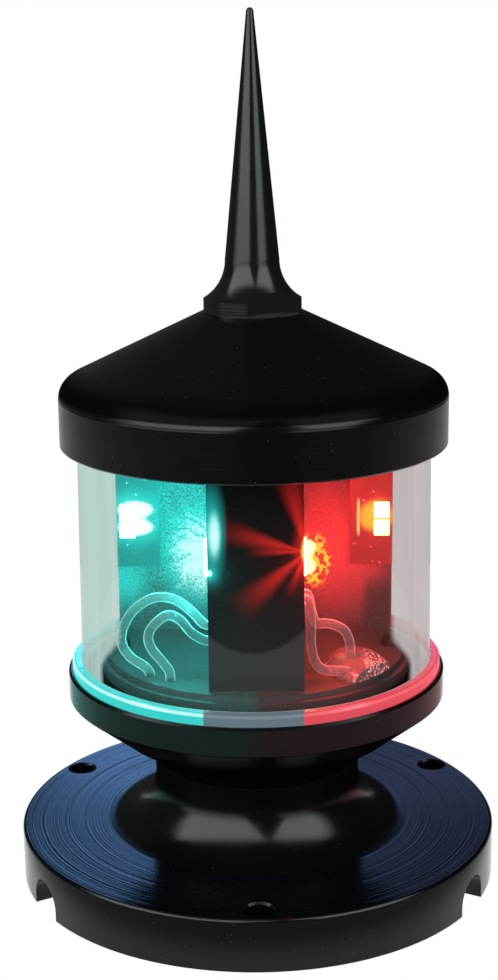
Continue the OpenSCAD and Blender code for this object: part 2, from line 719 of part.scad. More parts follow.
module cap() {
  wall_z = cap_wall / cos(atan(cap_slope));
  inner_r = cap_seat_r - 3.5;
  color([0.09, 0.09, 0.1]) difference() {
    rotate_extrude($fn = 180) polygon(concat(
      [[0, cap_z], [cap_r - 0.3, cap_z], [cap_r, cap_z + 0.3]],
      arc(cap_r - shoulder_r, shoulder_z, shoulder_r, 0, shoulder_turn, 10),
      [[cap_flat_r, cap_top_z], [0, cap_top_z]]
    ));
    rotate_extrude($fn = 120) polygon([
      [cap_boss_r, cap_z - over], [cap_seat_r, cap_z - over], [cap_seat_r, cap_seat_z],
      [inner_r, cap_seat_z], [inner_r, cone_top(inner_r) - wall_z],
      [cap_boss_r, cone_top(cap_boss_r) - wall_z]
    ]);
    translate([0, 0, cap_z - over]) cylinder(h = boss_z - cap_z + over, r = cap_boss_r + 0.01);
    translate([0, 0, boss_z - over])
      cylinder(h = tie_top_z - boss_z + over, r = tie_r + thread_gap, $fn = 32);
    translate([0, 0, cap_top_z - stud_hole_depth])
      cylinder(h = stud_hole_depth + over, r = stud_r + thread_gap, $fn = 48);
  }
}

module spike_seal() {
  color([0.06, 0.06, 0.06]) translate([0, 0, cap_top_z]) difference() {
    cylinder(h = spike_seal_h, r = spike_seal_out_r, $fn = 64);
    translate([0, 0, -over]) cylinder(h = spike_seal_h + 2 * over, r = spike_seal_in_r, $fn = 48);
  }
}

module spike() {
  flat_h = flare_z - cap_top_z;
  color([0.14, 0.14, 0.14]) difference() {
    union() {
      rotate_extrude($fn = 120) difference() {
        polygon(concat(
          [[0, cap_top_z], [spike_flange_r, cap_top_z], [spike_flange_r, flange_top_z],
           [spike_flange_r, flare_z], [needle_r, flare_z], [tip_r, tip_z - tip_r]],
          arc(0, tip_z - tip_r, tip_r, 20, 90, 4)
        ));
        translate([flare_x, flare_z]) circle(r = flare_r, $fn = 120);
      }
      translate([0, 0, cap_top_z - stud_l]) cylinder(h = stud_l + 2, r = stud_r, $fn = 48);
    }
    difference() {
      translate([0, 0, cap_top_z - over]) cylinder(h = spike_seal_h + over, r = spike_seal_out_r + 0.3);
      translate([0, 0, cap_top_z - 2 * over]) cylinder(h = 4 * over, r = stud_r, $fn = 48);
    }
    for (side = [0, 180]) rotate([0, 0, wrench_turn - 90 + side])
      translate([wrench_w / 2, -spike_flange_r, cap_top_z - over])
        cube([spike_flange_r, 2 * spike_flange_r, flat_h + over]);
  }
}

mounting_base();
cable_grommet();
base_seal();
base_screws();
lower_housing();
lens_lower_seal();
lens();
lens_upper_seal();
carrier_disc();
carrier_screws();
front_screen();
front_screen_screws();
rear_screen();
rear_screen_screws();
beam_board(1);  // port_beam_board
ahead_board(1);  // port_ahead_board
beam_board(-1);  // starboard_beam_board
ahead_board(-1);  // starboard_ahead_board
stern_board();
red_lamps();
green_lamps();
white_lamps();
port_leads();
port_sealant();
starboard_leads();
rear_leads();
top_plate();
tie_rod();
tie_sleeve();
tie_washer();
tie_nut();
driver_bracket();
bracket_screws();
driver_board();
board_screws();
driver_inductor();
driver_capacitor();
driver_chip();
terminal_block();
terminal_screws();
cap();
spike_seal();
spike();
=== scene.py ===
"""Masthead navigation light: looks and finishes around the fixed CAD frame."""
import math

import bpy
from mathutils import Matrix, Vector


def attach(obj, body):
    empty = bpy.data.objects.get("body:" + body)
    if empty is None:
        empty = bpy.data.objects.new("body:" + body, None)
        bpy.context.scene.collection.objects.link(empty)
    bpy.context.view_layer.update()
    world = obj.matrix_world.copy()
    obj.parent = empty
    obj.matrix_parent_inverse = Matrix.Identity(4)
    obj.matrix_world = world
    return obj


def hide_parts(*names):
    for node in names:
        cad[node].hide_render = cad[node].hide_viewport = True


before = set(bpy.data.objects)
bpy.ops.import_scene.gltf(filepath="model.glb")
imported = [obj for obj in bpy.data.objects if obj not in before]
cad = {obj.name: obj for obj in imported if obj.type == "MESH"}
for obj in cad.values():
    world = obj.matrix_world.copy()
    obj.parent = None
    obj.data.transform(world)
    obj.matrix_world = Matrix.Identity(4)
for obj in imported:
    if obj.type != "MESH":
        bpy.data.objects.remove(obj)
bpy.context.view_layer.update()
scene = bpy.context.scene

# ------------------------------------------------------------------ Camera
# A long lens a little above the light, looking down on its base. It leans
# by about half a degree, as a camera held by hand does.
camera_place = Vector((-0.00098, -0.307, 0.1485))
look_down = math.radians(13.94)
lean = math.radians(-0.61)

camera_data = bpy.data.cameras.new("camera")
camera_data.lens = 63.7
camera_data.clip_start = 0.01
camera = bpy.data.objects.new("camera", camera_data)
scene.collection.objects.link(camera)
camera.matrix_world = (
    Matrix.Translation(camera_place)
    @ Matrix.Rotation(math.pi / 2 - look_down, 4, "X")
    @ Matrix.Rotation(lean, 4, "Z")
)
scene.camera = camera


# ------------------------------------------------------------------ Floor
# A round white card under the light, two hands across and lit from below.
# It looks plain white to the camera. In the light's gloss it shows painted
# lamp spill, green to starboard and red to port, and a painted shadow ring
# in front of the light.
class Wire:
    """One socket's value. Arithmetic on it adds Math nodes."""

    def __init__(self, shop, socket):
        self.shop, self.socket = shop, socket

    def math(self, operation, a, b=None):
        return self.shop.node("ShaderNodeMath", {"operation": operation}, {0: a, 1: b})

    def __add__(self, other):
        return self.math("ADD", self, other)

    def __sub__(self, other):
        return self.math("SUBTRACT", self, other)

    def __rsub__(self, other):
        return self.math("SUBTRACT", other, self)

    def __mul__(self, other):
        return self.math("MULTIPLY", self, other)

    def __truediv__(self, other):
        return self.math("DIVIDE", self, other)

    def __pow__(self, other):
        return self.math("POWER", self, other)

    def __abs__(self):
        return self.math("ABSOLUTE", self)

    __radd__, __rmul__ = __add__, __mul__


class Shop:
    """A node tree, with one method that adds any node to it."""

    def __init__(self, tree):
        self.tree = tree

    def join(self, value, socket):
        if isinstance(value, Wire):
            self.tree.links.new(value.socket, socket)
        elif value is not None:
            socket.default_value = value

    def node(self, kind, settings=None, sockets=None, out=0):
        made = self.tree.nodes.new(kind)
        for key, value in (settings or {}).items():
            if key == "stops":
                stops = made.color_ramp.elements
                while len(stops) < len(value):
                    stops.new(1)
                for stop, (place, shade) in zip(stops, value):
                    stop.position, stop.color = place, shade
            else:
                setattr(made, key, value)
        for key, value in (sockets or {}).items():
            self.join(value, made.inputs[key])
        return Wire(self, made.outputs[out])

    def split(self, vector):
        return [self.node("ShaderNodeSeparateXYZ", None, {0: vector}, out=k) for k in range(3)]

    def rise(self, value, low, high):
        """0 below low, 1 above high, and a soft step between."""
        return self.node("ShaderNodeMapRange", {"interpolation_type": "SMOOTHSTEP"},
                         {0: value, 1: low, 2: high, 3: 0.0, 4: 1.0})

    def band(self, value, low, high, soft):
        return self.rise(value, low - soft, low + soft) * (
            1 - self.rise(value, high - soft, high + soft))

    def blend(self, amount, a, b):
        return self.node("ShaderNodeMix", {"data_type": "RGBA"}, {0: amount, 6: a, 7: b}, out=2)


class Finish(Shop):
    """One material, with its Principled shader."""

    def __init__(self, name, **sockets):
        self.material = bpy.data.materials.new(name)
        self.material.use_nodes = True
        super().__init__(self.material.node_tree)
        self.shader = self.tree.nodes["Principled BSDF"]
        self.set(**sockets)

    def set(self, **sockets):
        for name, value in sockets.items():
            self.join(value, self.shader.inputs[name.replace("_", " ")])

    def place(self):
        """Object coordinates in millimetres."""
        raw = self.node("ShaderNodeTexCoord", out=3)
        return self.node("ShaderNodeVectorMath", {"operation": "SCALE"}, {0: raw, "Scale": 1000})

    def noise(self, where, scale, detail=3.0, rough=0.5):
        return self.node("ShaderNodeTexNoise", None,
                         {"Vector": where, "Scale": scale, "Detail": detail,
                          "Roughness": rough})

    def specks(self, where, scale, size):
        """Small round spots, 1 at the middle of each."""
        cells = self.node("ShaderNodeTexVoronoi", None, {"Vector": where, "Scale": scale})
        return 1 - self.rise(cells, size * 0.4, size)

    def spot(self, x, z, middle, size):
        """1 at a place on an upright face, fading to 0 a size away."""
        reach = (((x - middle[0]) / size[0]) ** 2 + ((z - middle[1]) / size[1]) ** 2) ** 0.5
        return 1 - self.rise(reach, 0.0, 1.0)

    def bump(self, height, distance, strength=1.0):
        self.set(Normal=self.node(
            "ShaderNodeBump", None,
            {"Height": height, "Distance": distance, "Strength": strength}))

    def gloss(self):
        """What the Principled shader gives, to mix with another shader."""
        return Wire(self, self.shader.outputs[0])

    def ends_in(self, shader):
        self.join(shader, self.tree.nodes["Material Output"].inputs[0])

    def cover(self, *names):
        """Gives this finish to CAD pieces."""
        for name in names:
            slots = cad[name].data.materials
            slots.clear()
            slots.append(self.material)


card_r = 0.21
card_sides = 96
card_mesh = bpy.data.meshes.new("card")
turn = [math.tau * k / card_sides for k in range(card_sides)]
card_mesh.from_pydata([(card_r * math.cos(a), card_r * math.sin(a), 0.0) for a in turn], [],
                      [tuple(range(card_sides))])
card = bpy.data.objects.new("card", card_mesh)
scene.collection.objects.link(card)
card_finish = Finish("white_card", Base_Color=(0.0, 0.0, 0.0, 1), Roughness=0.8,
                     Specular_IOR_Level=0.0, Emission_Strength=1.0)
card_x, card_y, _ = card_finish.split(card_finish.place())
# Painted lamp spill, ahead and to the sides: green to starboard, red to port.
front_edge, side_edge, back_edge = (-75.0, -52.0), (66.0, 80.0), (100.0, 130.0)
coloured = (1 - card_finish.rise(card_y, *front_edge)) + card_finish.rise(
    abs(card_x), *side_edge) * (1 - card_finish.rise(card_y, *back_edge))
green_spill, red_spill = (0.3, 0.72, 0.66, 1), (0.72, 0.4, 0.42, 1)
spill = card_finish.blend(card_finish.rise(card_x, -25.0, 25.0), green_spill, red_spill)
# A painted shadow ring round the light, on the card's front half only.
shade_inner, shade_outer, shade_soft = 52.0, 96.0, 5.0
shaded = card_finish.band((card_x * card_x + card_y * card_y) ** 0.5, shade_inner, shade_outer,
                          shade_soft) * (1 - card_finish.rise(card_y, 0.0, 15.0))
lit_card = card_finish.blend(card_finish.rise(coloured, 0.0, 1.0), (1.0, 1.0, 1.0, 1), spill)
card_finish.set(Emission_Color=card_finish.blend(shaded * 0.75, lit_card, (0.1, 0.11, 0.11, 1)))
card_finish.ends_in(card_finish.node("ShaderNodeMixShader", None, {
    0: card_finish.node("ShaderNodeLightPath"), 1: card_finish.gloss(),
    2: card_finish.node("ShaderNodeEmission", None, {0: (1.0, 1.0, 1.0, 1)})}))
card_mesh.materials.append(card_finish.material)

# ------------------------------------------------------------------ Room
# The room is white behind the camera's view. What the light's own surfaces
# see is a dark room with two tall soft boxes ahead and a blue glow behind.
world = bpy.data.worlds.new("room")
scene.world = world
scene.view_settings.view_transform = "Standard"
world.use_nodes = True
room = Shop(world.node_tree)
across, along, up = room.split(room.node("ShaderNodeTexCoord"))
left = 1 - room.rise(across, -0.05, 0.05)
behind = room.rise(along, 0.3, 0.6)
gap = 0.36 - 0.42 * up
reach = along + 0.16 * room.rise(across, -0.1, 0.1) - 0.7 * up
boxes = (
    room.rise(up, 0.0, 0.14) * (1 - room.rise(up, 0.66, 0.92))
    * room.rise(abs(across - 0.15) - gap, -0.02, 0.06) * (1 - room.rise(reach, -0.5, -0.2)))
strips = room.band(up, -0.09, 0.05, 0.04) * (
    room.band(across, -1.1, -0.26, 0.12) * (1 - room.rise(along, -0.3, 0.05))
    + room.band(across, 0.38, 0.84, 0.08) * (1 - room.rise(along, -0.5, -0.2)))
table = (1 - room.rise(up, -0.19, -0.16)) * room.rise(along, -0.9, 0.3)
glow = room.rise(up, 0.25, 0.33) * behind * room.band(across, -0.13, 0.19, 0.05) * (
    1.4 * (1 - room.rise(up, 0.38, 0.41)) + 0.55 * (1 - room.rise(up, 0.42, 0.46)))


def shine(mask, shade, strength):
    """A patch of light of one colour in the room."""
    return room.node("ShaderNodeBackground", None, {"Color": shade, "Strength": mask * strength})


def together(a, b):
    return room.node("ShaderNodeAddShader", None, {0: a, 1: b})


lit = together(
    together(shine(boxes, (0.93, 1.0, 1.0, 1), 5.2), shine(strips, (0.95, 1.0, 0.98, 1), 3.2)),
    together(shine(glow, room.blend(left, (0.14, 0.2, 0.42, 1), (0.42, 0.95, 2.1, 1)), 1.4),
             shine(table, (1.0, 1.0, 0.98, 1), 0.45)))
lit = together(lit, room.node("ShaderNodeBackground", None, {
    "Color": (0.9, 1.0, 1.0, 1), "Strength": 0.02 + 0.04 * left}))
plain = room.node("ShaderNodeBackground", None, {"Color": (1.0, 1.0, 1.0, 1), "Strength": 1.0})
seen = room.node("ShaderNodeLightPath")
room.join(room.node("ShaderNodeMixShader", None, {0: seen, 1: lit, 2: plain}),
          world.node_tree.nodes["World Output"].inputs[0])

# ------------------------------------------------------------------ Mounting base
# A thick disc turned from aluminium bar and dyed blue-black, drilled for
# three mast screws. Its top keeps the fine rings of the facing cut.
base_finish = Finish("dyed_base", Specular_IOR_Level=0.23)
dyed, dusty = (0.001, 0.0013, 0.002, 1), (0.06, 0.07, 0.08, 1)
where = base_finish.place()
x, y, z = base_finish.split(where)
radius = (x * x + y * y) ** 0.5
wobble = base_finish.noise(where, 0.08, 2.0)
rings = base_finish.node("ShaderNodeTexNoise", {"noise_dimensions": "1D"},
                         {"W": radius + wobble * 0.6, "Scale": 2.2, "Detail": 3.0})
grain = base_finish.noise(where, 6.0, 2.0)
dust = base_finish.specks(where, 0.8, 0.09)
base_finish.set(
    Roughness=0.08 + 0.08 * base_finish.noise(where, 0.25),
    Base_Color=base_finish.blend(dust * 0.5, dyed, dusty))
base_finish.bump(rings + grain * 0.1, 0.00012, 0.3)
base_finish.cover("mounting_base")

# ------------------------------------------------------------------ Seals
# O-rings in the joints of base, lens and cap, the washer under the spike and
# the cable grommet: moulded from black rubber and pressed into their grooves.
rubber = Finish("black_rubber", Base_Color=(0.02, 0.02, 0.02, 1))
where = rubber.place()
rubber.set(Roughness=0.65 + 0.2 * rubber.noise(where, 1.5))
rubber.bump(rubber.noise(where, 4.0), 0.0002, 0.4)
rubber.cover("cable_grommet", "base_seal", "lens_lower_seal", "lens_upper_seal", "spike_seal")

# ------------------------------------------------------------------ Fasteners
# Stainless screws, the tie rod with its nut and washer, and the bent bracket
# of the driver board. The carrier's screws are blackened steel.
steel = Finish("stainless", Metallic=1.0)
where = steel.place()
brushed = steel.noise(where, 3.0, 4.0, 0.6)
steel.set(Roughness=0.2 + 0.25 * brushed,
          Base_Color=steel.blend(brushed, (0.5, 0.5, 0.52, 1), (0.68, 0.68, 0.69, 1)))
steel.bump(brushed, 0.0001, 0.3)
steel.cover("base_screws", "front_screen_screws", "rear_screen_screws", "bracket_screws",
            "board_screws", "terminal_screws", "tie_rod", "tie_washer", "tie_nut",
            "driver_bracket")
black_oxide = Finish("black_oxide", Metallic=0.6, Roughness=0.4)
where = black_oxide.place()
black_oxide.set(Base_Color=black_oxide.blend(
    black_oxide.noise(where, 2.0), (0.012, 0.012, 0.012, 1), (0.05, 0.05, 0.05, 1)))
black_oxide.cover("carrier_screws")

# ------------------------------------------------------------------ Housing and cap
# The spool below the lens and the cone above it, turned from aluminium and
# anodised black. They are smooth, with a faint cut left under the gloss.
housing_finish = Finish("black_anodised", Specular_IOR_Level=0.23)
anodised, worn_pit = (0.0015, 0.0015, 0.0015, 1), (0.05, 0.05, 0.05, 1)
where = housing_finish.place()
x, y, z = housing_finish.split(where)
cut = housing_finish.node("ShaderNodeTexNoise", {"noise_dimensions": "1D"},
                          {"W": z + (x * x + y * y) ** 0.5, "Scale": 3.0, "Detail": 2.0})
pits = housing_finish.specks(where, 0.55, 0.07)
housing_finish.set(
    Roughness=0.13 + 0.08 * housing_finish.noise(where, 0.3),
    Base_Color=housing_finish.blend(pits * 0.6, anodised, worn_pit))
housing_finish.bump(cut, 0.0001, 0.1)
# The neck and the rounding above the cap's skirt are left matt.
matt = housing_finish.node("ShaderNodeBsdfDiffuse", None, {0: (0.0012, 0.0012, 0.0012, 1)})
neck_foot, neck_top = 16.5, 30.0
skirt_top, cone_foot = (91.0, 91.5), (93.0, 95.5)
neck = housing_finish.band(z, neck_foot, neck_top, 1.5)
rounding = housing_finish.rise(z, *skirt_top) * (1 - housing_finish.rise(z, *cone_foot))
housing_finish.ends_in(housing_finish.node("ShaderNodeMixShader", None, {
    0: rounding * 0.93 + neck * 0.85, 1: housing_finish.gloss(), 2: matt}))
housing_finish.cover("lower_housing", "cap")

# ------------------------------------------------------------------ Lens
# A clear moulded tube with a foot ring. Light runs down inside its wall and
# leaves at the foot's edge: green to starboard, red to port. That glow on the
# foot is painted, as emission.
lens_finish = Finish("clear_lens", Base_Color=(0.0, 0.0, 0.0, 1), Roughness=0.05,
                     Specular_IOR_Level=0.5)
where = lens_finish.place()
x, y, z = lens_finish.split(where)
radius = (x * x + y * y) ** 0.5
drawn_out = lens_finish.node("ShaderNodeMapping", None, {0: where, 3: (0.6, 0.6, 0.03)})
flow = lens_finish.node("ShaderNodeTexNoise", None,
                        {"Vector": drawn_out, "Scale": 1.0, "Detail": 2.0})
foot_start, foot_top = (32.35, 32.5), (41.75, 41.8)
port_seam, starboard_seam = (7.7, 8.1), (-9.3, -8.9)
# The foot ring glows with painted lamp light, brightest in a line along its top edge.
foot = lens_finish.rise(radius, *foot_start) * (1 - lens_finish.rise(z, *foot_top))
streak = lens_finish.band(z, 41.1, 41.5, 0.15)
to_port = lens_finish.rise(x, *port_seam)
to_starboard = 1 - lens_finish.rise(x, *starboard_seam)
wall_light = lens_finish.blend(to_port, (0.11, 0.16, 0.19, 1), (0.72, 0.06, 0.09, 1))
wall_light = lens_finish.blend(to_starboard, wall_light, (0.03, 0.62, 0.58, 1))
edge_light = lens_finish.blend(to_port, (0.2, 0.25, 0.28, 1), (0.95, 0.14, 0.17, 1))
edge_light = lens_finish.blend(to_starboard, edge_light, (0.55, 1.0, 1.0, 1))
shown_light = lens_finish.blend(streak, wall_light, edge_light)
lens_finish.set(Emission_Color=lens_finish.blend(foot, (0.0, 0.0, 0.0, 1), shown_light),
                Emission_Strength=1.0)
lens_finish.bump(flow, 0.0004, 0.25)
# The clear wall is tinted faintly green on its starboard half and faintly red on its port half:
# painted lamp light.
port_half = lens_finish.rise(x, -20.0, 20.0)
through = lens_finish.node("ShaderNodeMixShader", None, {
    0: port_half,
    1: lens_finish.node("ShaderNodeBsdfTransparent", None, {0: (0.87, 0.925, 0.91, 1)}),
    2: lens_finish.node("ShaderNodeBsdfTransparent", None, {0: (0.89, 0.875, 0.875, 1)})})
# Where the wall is seen along its thickness it turns milky, shown as a painted glow, greenish on
# the starboard half and reddish on the port half.
slant = lens_finish.node("ShaderNodeLayerWeight", None, {"Blend": 0.5}, out=1)
painted_wall_glow = lens_finish.node("ShaderNodeMixShader", None, {
    0: port_half,
    1: lens_finish.node("ShaderNodeEmission", None, {0: (0.53, 0.72, 0.67, 1)}),
    2: lens_finish.node("ShaderNodeEmission", None, {0: (0.6, 0.55, 0.54, 1)})})
edge = 0.545 - 0.16 * lens_finish.rise(z, 44.0, 52.0)
outer_wall = lens_finish.rise(radius, 31.0, 31.4)
wall_glow_amount = lens_finish.rise(slant - edge, 0.0, 0.06) * outer_wall * 0.75 * (0.7 + 0.6 * flow)
through = lens_finish.node("ShaderNodeMixShader", None, {0: wall_glow_amount, 1: through, 2: painted_wall_glow})
lens_finish.ends_in(lens_finish.node("ShaderNodeMixShader", None, {
    0: 0.02 + 0.35 * slant ** 4 + foot * 0.97, 1: through, 2: lens_finish.gloss()}))
lens_finish.cover("lens")

# ------------------------------------------------------------------ Carrier and screens
# Gloss black plastic: the disc that closes the housing, the upright screen
# ahead and the cross screen behind that cut the lamps' sectors. The lamps'
# light on them is painted as emission: a speckled green glow to starboard with
# a painted star burst and glints, and to port a red glow with painted
# yellow-white glare, two cores and a halo by the lamps, and a painted shade low
# at the outer edge. The disc gets less of it than the screens.
screen_finish = Finish("gloss_black", Specular_IOR_Level=0.5)
where = screen_finish.place()
dust = screen_finish.specks(where, 1.7, 0.16)
fine = screen_finish.noise(where, 3.5, 4.0, 0.65)
x, y, z = screen_finish.split(where)
angle = screen_finish.node("ShaderNodeMath", {"operation": "ARCTAN2"}, {0: z - 60.0, 1: x + 7.0})
warp = screen_finish.noise(where, 0.35, 3.0)
strokes = screen_finish.node("ShaderNodeTexNoise", {"noise_dimensions": "1D"}, {
    "W": angle + warp * 0.9, "Scale": 5.0, "Detail": 5.0, "Roughness": 0.85})
# A speckle that breaks up the painted glow.
glow_speckle = screen_finish.noise(where, 2.2, 5.0, 0.75)
low = screen_finish.rise(z, 43.0, 58.0)
# The painted green glow to starboard, stronger higher up, with two brighter patches.
cyan = (
    (0.08 + 0.26 * low) * (1.7 * screen_finish.rise(glow_speckle, 0.3, 0.75) + 0.15)
    + 0.42 * screen_finish.spot(x, z, (-23.5, 66.0), (9.0, 9.0))
    + 0.45 * screen_finish.spot(x, z, (-25.0, 52.0), (7.0, 8.0)))
# A painted star burst round the starboard lamps.
burst = screen_finish.spot(x, z, (-10.0, 57.0), (10.5, 14.0)) * (
    0.35 + 1.3 * screen_finish.rise(strokes * 0.6 + glow_speckle * 0.45, 0.35, 0.7))
# Painted glints.
glint = screen_finish.rise(screen_finish.noise(where, 4.5, 2.0), 0.63, 0.75)
green_light = screen_finish.blend(
    screen_finish.rise(burst + glint * 0.5 * low, 0.25, 1.0), (0.015, 1.0, 0.94, 1),
    (0.8, 1.25, 1.2, 1))
green_level = cyan + burst * 0.9 + glint * 0.6 * low
# Painted shade low at the port outer edge.
shaded = 1 - 0.85 * screen_finish.rise(x, 20.0, 22.0) * (1 - screen_finish.rise(z, 49.0, 54.0))
red_level = shaded * (
    0.05 + 0.9 * screen_finish.spot(x, z, (15.0, 57.0), (13.0, 17.0)) * (0.3 + 1.4 * glow_speckle)
    + 0.25 * screen_finish.spot(x, z, (22.0, 60.0), (9.0, 14.0)) + glint * 0.3 * low)
# Painted yellow-white glare, two cores and a halo by the port lamps.
yellow = screen_finish.spot(x, z, (11.0, 56.2), (5.4, 8.0)) * (
    0.3 + 1.5 * screen_finish.rise(screen_finish.noise(where, 1.1, 3.0), 0.42, 0.56))
core = screen_finish.spot(x, z, (10.0, 58.5), (2.7, 2.8)) + screen_finish.spot(
    x, z, (10.0, 54.9), (2.7, 2.8))
halo = screen_finish.spot(x, z, (23.6, 65.6), (5.4, 4.2))
red_light = screen_finish.blend(screen_finish.rise(yellow, 0.3, 0.9), (1.0, 0.03, 0.035, 1),
                                (1.3, 0.75, 0.03, 1))
red_light = screen_finish.blend(screen_finish.rise(core, 0.2, 0.7), red_light,
                                (2.5, 2.2, 0.9, 1))
red_light = screen_finish.blend(halo * 0.8, red_light, (1.6, 0.5, 0.05, 1))
to_port = screen_finish.rise(x, -1.0, 1.0)
level = screen_finish.node("ShaderNodeMix", {"data_type": "FLOAT"}, {
    0: to_port, 2: green_level, 3: red_level + yellow + core + halo * 0.7})
front = 1 - screen_finish.rise(y, 10.0, 10.6)
shown_light = screen_finish.blend(to_port, green_light, red_light)
upright = screen_finish.rise(z, 42.52, 42.6)
screen_finish.set(
    Roughness=0.16 + 0.3 * fine,
    Base_Color=screen_finish.blend(dust * 0.7 + fine * 0.2, (0.016, 0.017, 0.017, 1),
                                   (0.2, 0.21, 0.21, 1)),
    Emission_Color=screen_finish.blend(
        level * front * (0.45 + 0.55 * upright), (0.0, 0.0, 0.0, 1), shown_light),
    Emission_Strength=1.0)
screen_finish.bump(fine + dust, 0.00025, 0.5)
screen_finish.cover("carrier_disc", "rear_screen")

# ------------------------------------------------------------------ Front screen
# The narrow screen ahead, cut from polished black sheet. The port lamps'
# flare over its edge is painted on it as rays and a glow; a painted green strip
# with a white streak lies along its starboard edge, and a painted grey
# reflection of the floor lies on its foot below a curved line.
column_finish = Finish("smooth_black", Specular_IOR_Level=0.45)
where = column_finish.place()
fine = column_finish.noise(where, 2.5, 3.0, 0.6)
column_finish.set(
    Roughness=0.1 + 0.12 * fine,
    Base_Color=column_finish.blend(column_finish.specks(where, 1.2, 0.1) * 0.4,
                                   (0.006, 0.006, 0.006, 1), (0.12, 0.12, 0.12, 1)))
x, y, z = column_finish.split(where)
face = 1 - column_finish.rise(y, -24.0, -23.0)
# A painted grey reflection of the floor on the face, below a curved line.
arc = (x + 0.5) ** 2 * 0.055 + 49.4
floor_reflection = (1 - column_finish.rise(z - arc, -0.5, 0.4)) * face
# The port lamps' flare, painted: rays fanning from the edge and a glow.
flare_x, flare_z = 8.6, 67.4
turned = column_finish.node("ShaderNodeMath", {"operation": "ARCTAN2"},
                            {0: z - flare_z, 1: flare_x - x})
reach = ((flare_x - x) ** 2 + (z - flare_z) ** 2) ** 0.5
rays = 0.0
for tilt, width, length in ((0.27, 0.1, 17.0), (0.03, 0.08, 11.0), (-0.72, 0.12, 17.0),
                            (1.36, 0.12, 18.0), (-1.2, 0.08, 9.0)):
    rays = rays + (1 - column_finish.rise(abs(turned - tilt), 0.0, width * 2.2)) * (
        1 - column_finish.rise(reach, 1.0, length))
flare = column_finish.spot(x, z, (8.8, 67.6), (3.2, 6.5))
# A painted green strip and white streak at the starboard edge.
strip = column_finish.spot(x, z, (-7.6, 71.0), (3.4, 11.0))
white = column_finish.spot(x, z, (-6.9, 70.5), (1.5, 5.5))
green_shown = column_finish.blend(white, (0.03, 0.9, 0.85, 1), (0.9, 1.3, 1.3, 1))
red_shown = column_finish.blend(
    column_finish.rise(flare, 0.6, 1.0), (0.85, 0.02, 0.015, 1), (2.0, 1.2, 0.3, 1))
shown_light = column_finish.blend(column_finish.rise(x, -5.4, -4.6), green_shown, red_shown)
column_finish.set(
    Emission_Color=column_finish.blend(
        (rays * 0.9 + flare + strip * 0.7 + white) * face,
        column_finish.blend(floor_reflection, (0.0, 0.0, 0.0, 1), (0.03, 0.032, 0.03, 1)), shown_light),
    Emission_Strength=1.0)
column_finish.cover("front_screen", "top_plate", "tie_sleeve")

# ------------------------------------------------------------------ Lamps
# Surface-mount lamps on their circuit boards: two abeam and two ahead on
# each side, three astern. They are lit, and light the screens about them.
lamp_z = 0.064499
lamp_step = 0.0017


def lamp_finish(name, body, light, strength):
    made = Finish(name, Base_Color=body, Roughness=0.3, Emission_Strength=strength)
    where = made.place()
    made.set(Emission_Color=made.blend(made.noise(where, 1.5), light, tuple(
        0.8 * v for v in light[:3]) + (1,)))
    return made


lamp_finish("red_lamp", (1.0, 0.3, 0.2, 1), (1.0, 0.42, 0.1, 1), 14.0).cover("red_lamps")
lamp_finish("green_lamp", (0.4, 1.0, 0.9, 1), (0.5, 1.0, 0.95, 1), 14.0).cover("green_lamps")
lamp_finish("white_lamp", (1.0, 1.0, 0.9, 1), (1.0, 0.96, 0.86, 1), 8.0).cover("white_lamps")

# ------------------------------------------------------------------ Circuit boards
# Glass-fibre boards under a near-black solder mask with tinned pads, screwed
# to the screens. The lamps' glow is painted over them as emission, in soft
# halos and a speckled wash, with a painted orange sliver by the port lamps.
board_finish = Finish("solder_mask", Emission_Strength=1.0)
where = board_finish.place()
pads = board_finish.specks(where, 0.6, 0.16)
x, y, z = board_finish.split(where)
glow_speckle = board_finish.noise(where, 2.2, 5.0, 0.75)
# Painted halos of lamp light.
green_halo = board_finish.spot(x, z, (-22.8, 65.0), (9.0, 7.5))
white_halo = board_finish.spot(x, z, (-22.4, 66.6), (5.2, 2.6)) + board_finish.spot(
    x, z, (-22.4, 63.2), (5.2, 2.6))
red_halo = board_finish.spot(x, z, (22.8, 64.9), (5.5, 5.0))
sliver = board_finish.band(x, 19.3, 19.8, 0.15) * board_finish.band(z, 61.5, 68.0, 0.8)
green_shown = board_finish.blend(board_finish.rise(white_halo, 0.15, 0.55), (0.02, 0.75, 0.7, 1),
                                 (1.6, 2.0, 2.0, 1))
red_shown = board_finish.blend(board_finish.rise(red_halo, 0.15, 0.7), (0.75, 0.03, 0.03, 1),
                               (1.8, 0.75, 0.06, 1))
red_shown = board_finish.blend(sliver, red_shown, (1.6, 0.9, 0.3, 1))
unlit = (0.0, 0.0, 0.0, 1)
shown_light = board_finish.blend(
    board_finish.rise(x, -1.0, 1.0), board_finish.blend(0.55 + green_halo, unlit, green_shown),
    board_finish.blend(0.9 + red_halo + sliver, unlit, red_shown))
board_finish.set(
    Base_Color=board_finish.blend(pads, (0.01, 0.012, 0.012, 1), (0.4, 0.4, 0.38, 1)),
    Metallic=pads, Roughness=0.35 + 0.2 * board_finish.noise(where, 1.0),
    Emission_Color=board_finish.blend(
        board_finish.rise(abs(x), 11.0, 12.0) * (0.5 + 0.6 * glow_speckle), unlit, shown_light))
board_finish.bump(pads, 0.0002, 0.5)
board_finish.cover("port_beam_board", "port_ahead_board", "starboard_beam_board",
                   "starboard_ahead_board", "stern_board", "driver_board")

# ------------------------------------------------------------------ Lamplight
# What the lit lamps throw on the screens, the disc and the leads: one small
# light at each lamp, and two for what comes back off the lens.


def lamp_light(name, place, shade, watts, size=0.0012):
    data = bpy.data.lights.new(name, "POINT")
    data.energy, data.color, data.shadow_soft_size = watts, shade, size
    made = bpy.data.objects.new(name, data)
    made.location = place
    made.visible_camera = False
    scene.collection.objects.link(made)


